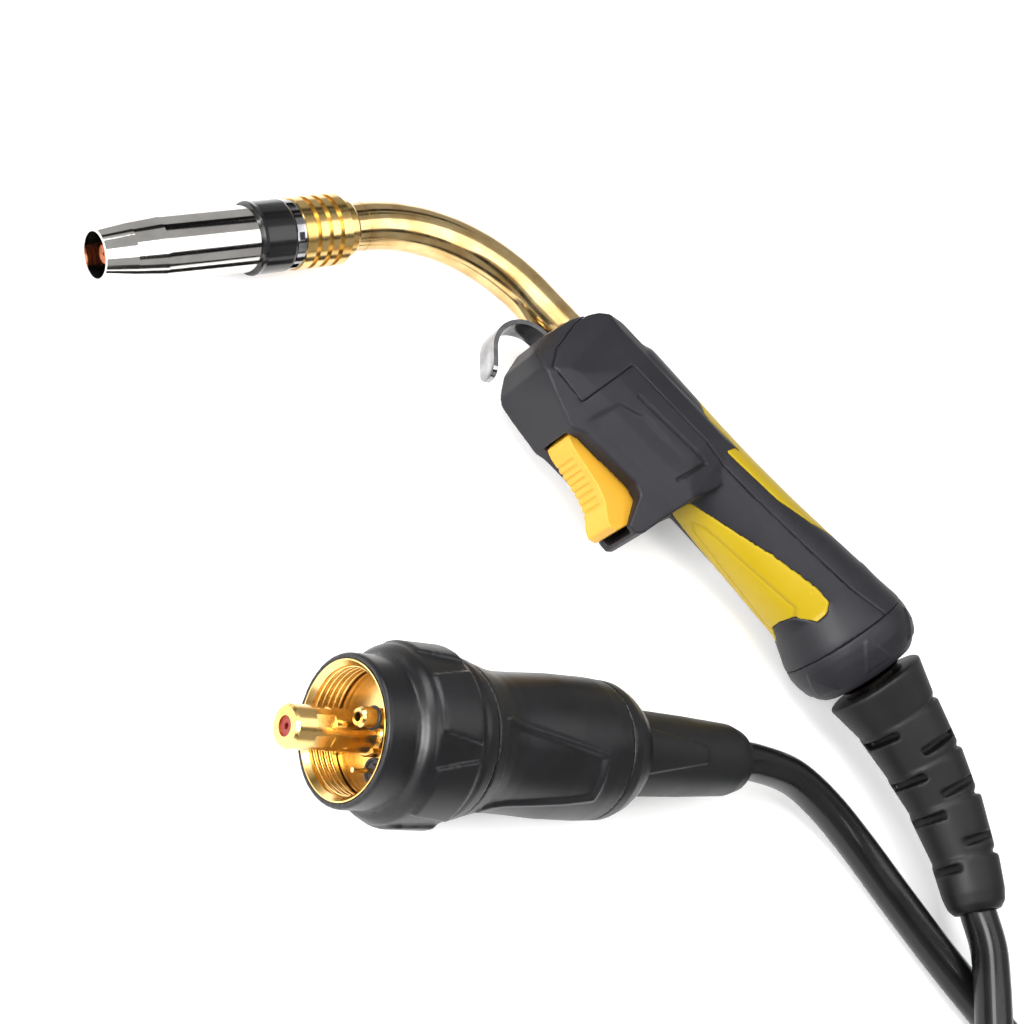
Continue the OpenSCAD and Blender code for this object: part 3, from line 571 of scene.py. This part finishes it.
def easedCopy(name, nodeName, voxel, passes):
    obj = mergedCopy(name, nodes[nodeName])
    remesh = obj.modifiers.new("remesh", "REMESH")
    remesh.mode = "VOXEL"
    remesh.voxel_size = voxel * mm
    remesh.use_smooth_shade = True
    ease = obj.modifiers.new("ease", "SMOOTH")
    ease.factor = 0.5
    ease.iterations = passes
    graph = bpy.context.evaluated_depsgraph_get()
    mesh = bpy.data.meshes.new_from_object(obj.evaluated_get(graph))
    obj.modifiers.clear()
    obj.data = mesh
    mesh.name = name
    mesh.shade_smooth()
    return obj


def segmentDistance(points, line):
    found = np.full(len(points), 1e9)
    for a, b in zip(np.array(line[:-1], float), np.array(line[1:], float)):
        step = b - a
        share = np.clip(((points - a) @ step) / (step @ step), 0, 1)
        found = np.minimum(found, np.linalg.norm(points - a - share[:, None] * step, axis=1))
    return found


def insideShape(points, outline):
    inside = np.zeros(len(points), bool)
    for (ax, ay), (bx, by) in zip(outline, outline[1:] + outline[:1]):
        if ay == by:
            continue
        crosses = (ay > points[:, 1]) != (by > points[:, 1])
        reach = (bx - ax) * (points[:, 1] - ay) / (by - ay) + ax
        inside ^= crosses & (points[:, 0] < reach)
    return inside


def bell(distance, width):
    return np.exp(-(distance / width) ** 2)


def ramp(values, low, high):
    t = np.clip((values - low) / (high - low), 0, 1)
    return t * t * (3 - 2 * t)


def reshape(obj, matrix, change):
    # change takes places and normals in millimetres and gives new places and the strength of the
    # painted groove shade.
    mesh = obj.data
    count = len(mesh.vertices)
    places = np.empty(count * 3)
    mesh.vertices.foreach_get("co", places)
    normals = np.array([n.vector[:] for n in mesh.vertex_normals])
    inverse = np.array(matrix.inverted())
    local = places.reshape(-1, 3) @ inverse[:3, :3].T + inverse[:3, 3]
    turn = np.array(matrix.inverted().to_3x3().normalized())
    moved, grooveShade = change(local, normals @ turn.T)
    forward = np.array(matrix)
    back = moved @ forward[:3, :3].T + forward[:3, 3]
    mesh.vertices.foreach_set("co", back.ravel())
    # Painted shade: stored per point so that the finish darkens sunk lines.
    mesh.attributes.new("grooveShade", "FLOAT", "POINT").data.foreach_set("value", grooveShade)
    mesh.update()


def smoothGrip(local, normals):
    # The grip's sections run into each other without a crease.
    radius = np.hypot(local[:, 1], local[:, 2])
    wanted = np.interp(local[:, 0], gripLine[:, 0], gripLine[:, 1])
    curve = np.polyval(gripFit, local[:, 0] / gripDetail["unit"])
    outer = (radius > wanted - gripDetail["under"]) & (radius < wanted + gripDetail["over"])
    share = (outer * ramp(local[:, 0], *gripDetail["start"])
             * (1 - ramp(local[:, 0], *gripDetail["end"])))
    grow = 1 + share * (curve - wanted) / np.maximum(radius, 1)
    moved = local.copy()
    moved[:, 1] *= grow
    moved[:, 2] *= grow
    return moved, np.zeros(len(local))


handleDetail = {
    "panelLine": [(128, 13), (94, 11), (98, 25)],
    "lineWidth": 0.55,
    "lineDepth": 0.9,
    "stepLine": [(18, 125), (21, 133), (30, 136), (43, 139)],
    "stepDepth": 0.9,
    "stepSlope": 3.0,
    "stepAcross": (15.5, 18.5),
    "stepAlong": (96, 118),
    "flank": (14, 16.5),
    "flankFacing": 0.35,
}


def shellDetail(local, normals):
    moved, grooveShade = smoothGrip(local, normals)
    flat = local[:, :2]
    side = (ramp(np.abs(local[:, 2]), *handleDetail["flank"])
            * (np.abs(normals[:, 2]) > handleDetail["flankFacing"]))
    line = bell(segmentDistance(flat, handleDetail["panelLine"]), handleDetail["lineWidth"])
    ridge = np.interp(local[:, 1], *zip(*handleDetail["stepLine"]))
    behind = (ramp(ridge - local[:, 0], 0, handleDetail["stepSlope"])
              * ramp(local[:, 1], *handleDetail["stepAcross"])
              * ramp(local[:, 0], *handleDetail["stepAlong"]))
    sink = side * (line * handleDetail["lineDepth"] + behind * handleDetail["stepDepth"])
    moved[:, 2] -= np.sign(local[:, 2]) * sink
    # Painted shade along the sunk panel line on the flanks.
    return moved, grooveShade + side * line


tongue = [(80, 0), (76, 3), (60, 5), (32, 9), (28, 6), (28, 0)]
tongueLine = tongue + [(x, -z) for x, z in tongue[-2::-1]]
tongueDetail = {"innerRadius": 17.2, "width": 0.6, "depth": 0.45, "shade": 0.15}


def inlayDetail(local, normals):
    moved, grooveShade = smoothGrip(local, normals)
    radius = np.hypot(local[:, 1], local[:, 2])
    outer = (radius > tongueDetail["innerRadius"]) & (local[:, 1] > 0)
    line = bell(segmentDistance(local[:, [0, 2]], tongueLine), tongueDetail["width"]) * outer
    sunk = moved - normals * (line * tongueDetail["depth"])[:, None]
    # Painted shade along the sunk tongue line, at the tongue's shade strength.
    return sunk, grooveShade + tongueDetail["shade"] * line


def roundAxis(local):
    return np.arctan2(local[:, 2], local[:, 1]), np.hypot(local[:, 1], local[:, 2])


def unrolled(local, angle, centre, radius):
    # The surface laid flat about one direction, in millimetres along and round the axis.
    turn = (angle - math.radians(centre) + math.pi) % (2 * math.pi) - math.pi
    return np.column_stack([local[:, 0], turn * radius])


def lifted(local, normals, height, outside):
    return local + normals * (height * outside)[:, None], np.zeros(len(local))


panel = {
    "outline": [(-45.5, -16), (-86, -7.5), (-86, 7.5), (-45.5, 16)],
    "directions": (45, 225),
    "radius": 22.5,
    "innerRadius": 20.6,
    "rimHeight": 0.75,
    "rimWidth": 1.0,
    "floorDepth": 0.55,
    "floorRamp": (0.6, 1.8),
}


def plugPanel(local, normals):
    # A keystone panel with a raised rim on each side of the plug.
    angle, radius = roundAxis(local)
    height = np.zeros(len(local))
    for direction in panel["directions"]:
        flat = unrolled(local, angle, direction, panel["radius"])
        rim = segmentDistance(flat, panel["outline"])
        inside = insideShape(flat, panel["outline"])
        height += (panel["rimHeight"] * bell(rim, panel["rimWidth"])
                   - panel["floorDepth"] * inside * ramp(rim, *panel["floorRamp"]))
    return lifted(local, normals, height, radius > panel["innerRadius"])


wedge = {
    "outline": [(-112, -8), (-141, -3.2), (-141, 3.2), (-112, 8)],
    "direction": 72,
    "radius": 14,
    "innerRadius": 11,
    "height": 0.9,
    "slope": 0.9,
}


def bootWedge(local, normals):
    angle, radius = roundAxis(local)
    flat = unrolled(local, angle, wedge["direction"], wedge["radius"])
    rim = segmentDistance(flat, wedge["outline"])
    height = wedge["height"] * insideShape(flat, wedge["outline"]) * ramp(rim, 0, wedge["slope"])
    return lifted(local, normals, height, radius > wedge["innerRadius"])


pads = {
    "outline": [(-15, -0.8), (-26, -7), (-26, 7), (-15, 0.8)],
    "count": 6,
    "radius": 24,
    "innerRadius": 19,
    "height": 0.6,
    "slope": 0.9,
}


def collarPads(local, normals):
    # Raised wedges round the collar give the fingers a hold.
    angle, radius = roundAxis(local)
    closed = pads["outline"] + pads["outline"][:1]
    height = np.zeros(len(local))
    for number in range(pads["count"]):
        flat = unrolled(local, angle, number * 360 / pads["count"], pads["radius"])
        rim = segmentDistance(flat, closed)
        height += (pads["height"] * insideShape(flat, pads["outline"])
                   * ramp(rim, 0, pads["slope"]))
    return lifted(local, normals, height, radius > pads["innerRadius"])


bore = {"outerRadius": 20.8, "openedRadius": 20.35, "behind": -25.5}


def nutBore(local, normals):
    # The bore is opened a little round the spigot, which still touches it at some turns.
    radius = np.hypot(local[:, 1], local[:, 2])
    near = (radius < bore["outerRadius"]) & (local[:, 0] < bore["behind"])
    grow = np.where(near, np.maximum(bore["openedRadius"] / np.maximum(radius, 1), 1), 1)
    moved = local.copy()
    moved[:, 1] *= grow
    moved[:, 2] *= grow
    return moved, np.zeros(len(local))


# Piece, node that it stands for, voxel in millimetres, smoothing passes, finish, frame, detail.
moulded = [
    ("upperShell", "upper_shell", 0.52, 7, "handle_plastic", handleFrame, shellDetail),
    ("lowerShell", "lower_shell", 0.52, 7, "handle_plastic", handleFrame, shellDetail),
    ("backInlay", "back_inlay", 0.36, 7, "grip_yellow", handleFrame, smoothGrip),
    ("bellyInlay", "belly_inlay", 0.36, 7, "grip_yellow", handleFrame, inlayDetail),
    ("triggerLever", "trigger", 0.3, 5, "trigger_orange", handleFrame, None),
    ("rearCollar", "rear_collar", 0.6, 5, "handle_plastic", rearFrame, collarPads),
    ("torchBoot", "torch_boot", 0.6, 5, "boot_rubber", rearFrame, None),
    ("plugBoot", "plug_boot", 0.6, 5, "boot_rubber", plugFrame, bootWedge),
    ("plugCap", "plug_cap", 0.6, 4, "plug_plastic", plugFrame, None),
    ("plugHousing", "plug_housing", 0.6, 5, "plug_plastic", plugFrame, plugPanel),
    ("nutShell", "nut_shell", 0.6, 4, "plug_plastic", plugFrame, nutBore),
]
bodies = {name: body for body, names in frame["record"]["behaviour"]["bodies"].items()
          for name in names}
pieces = {}
for name, nodeName, voxel, passes, finish, matrix, change in moulded:
    obj = easedCopy(name, nodeName, voxel, passes)
    if change:
        reshape(obj, matrix, change)
    setMaterial(obj, finishes[finish])
    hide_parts(nodeName)
    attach(obj, bodies[nodeName])
    pieces[name] = obj
    print(name, len(obj.data.polygons))
print("moulded pieces done")

# The nut's thread is one helix, made by nodes from its own sizes.
thread = {"Radius": 19.0, "Pitch": 2.0, "Start": -2.6, "Turns": 4.4, "Height": 0.55, "Half": 0.8}


def threadTree():
    tree = bpy.data.node_groups.new("nutThread", "GeometryNodeTree")
    tree.interface.new_socket("Geometry", in_out="OUTPUT", socket_type="NodeSocketGeometry")
    for name in thread:
        tree.interface.new_socket(name, in_out="INPUT", socket_type="NodeSocketFloat")
    tree.interface.new_socket("Finish", in_out="INPUT", socket_type="NodeSocketMaterial")
    given = addNode(tree, "NodeGroupInput").outputs
    length = addNode(tree, "ShaderNodeMath", {0: given["Turns"], 1: given["Pitch"]},
                     operation="MULTIPLY")
    spiral = addNode(tree, "GeometryNodeCurveSpiral", {
        "Resolution": 64, "Rotations": given["Turns"], "Start Radius": given["Radius"],
        "End Radius": given["Radius"], "Height": length.outputs["Value"]})
    ridge = addNode(tree, "GeometryNodeCurvePrimitiveQuadrilateral", {
        "Width": given["Height"], "Height": given["Half"]}, mode="RECTANGLE")
    swept = addNode(tree, "GeometryNodeCurveToMesh", {
        "Curve": spiral.outputs["Curve"], "Profile Curve": ridge.outputs["Curve"],
        "Fill Caps": True})
    low = addNode(tree, "ShaderNodeMath", {0: given["Start"], 1: length.outputs["Value"]},
                  operation="SUBTRACT")
    away = addNode(tree, "ShaderNodeCombineXYZ", {"X": low.outputs["Value"]})
    laid = addNode(tree, "GeometryNodeTransform", {
        "Geometry": swept.outputs["Mesh"], "Translation": away.outputs["Vector"],
        "Rotation": (0, math.radians(90), 0)})
    real = addNode(tree, "GeometryNodeRealizeInstances", {"Geometry": laid.outputs["Geometry"]})
    painted = addNode(tree, "GeometryNodeSetMaterial", {
        "Geometry": real.outputs["Geometry"], "Material": given["Finish"]})
    addNode(tree, "NodeGroupOutput", {"Geometry": painted.outputs["Geometry"]})
    return tree


def meshFromTree(name, tree, values, matrix):
    obj = makeObject(name, bpy.data.meshes.new(name))
    modifier = obj.modifiers.new(name, "NODES")
    modifier.node_group = tree
    for item in tree.interface.items_tree:
        if item.item_type == "SOCKET" and item.in_out == "INPUT":
            modifier[item.identifier] = values[item.name]
    graph = bpy.context.evaluated_depsgraph_get()
    mesh = bpy.data.meshes.new_from_object(obj.evaluated_get(graph))
    obj.modifiers.clear()
    mesh.transform(matrix)
    tidy = bmesh.new()
    tidy.from_mesh(mesh)
    bmesh.ops.remove_doubles(tidy, verts=tidy.verts, dist=1e-7)
    bmesh.ops.recalc_face_normals(tidy, faces=tidy.faces)
    tidy.to_mesh(mesh)
    tidy.free()
    obj.data = mesh
    return obj


nutThread = meshFromTree("nutThread", threadTree(),
                         {**thread, "Finish": finishes["plug_brass"]}, plugFrame)
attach(nutThread, "nut")
print("thread done", len(nutThread.data.polygons))

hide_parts("torch_cable", "cable_coil", "connector_cable")
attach(leadTube, "base")
plugPieces = [pieces[n] for n in ("plugBoot", "plugCap", "plugHousing", "nutShell")]
plugPieces += [nutThread] + [nodes[n] for n in (
    "plug_core", "plug_body", "centre_pin", "wire_liner", "gas_nipple", "nipple_o_ring",
    "signal_bushes", "signal_pin_1", "signal_pin_2", "threaded_insert", "nut_circlip")]
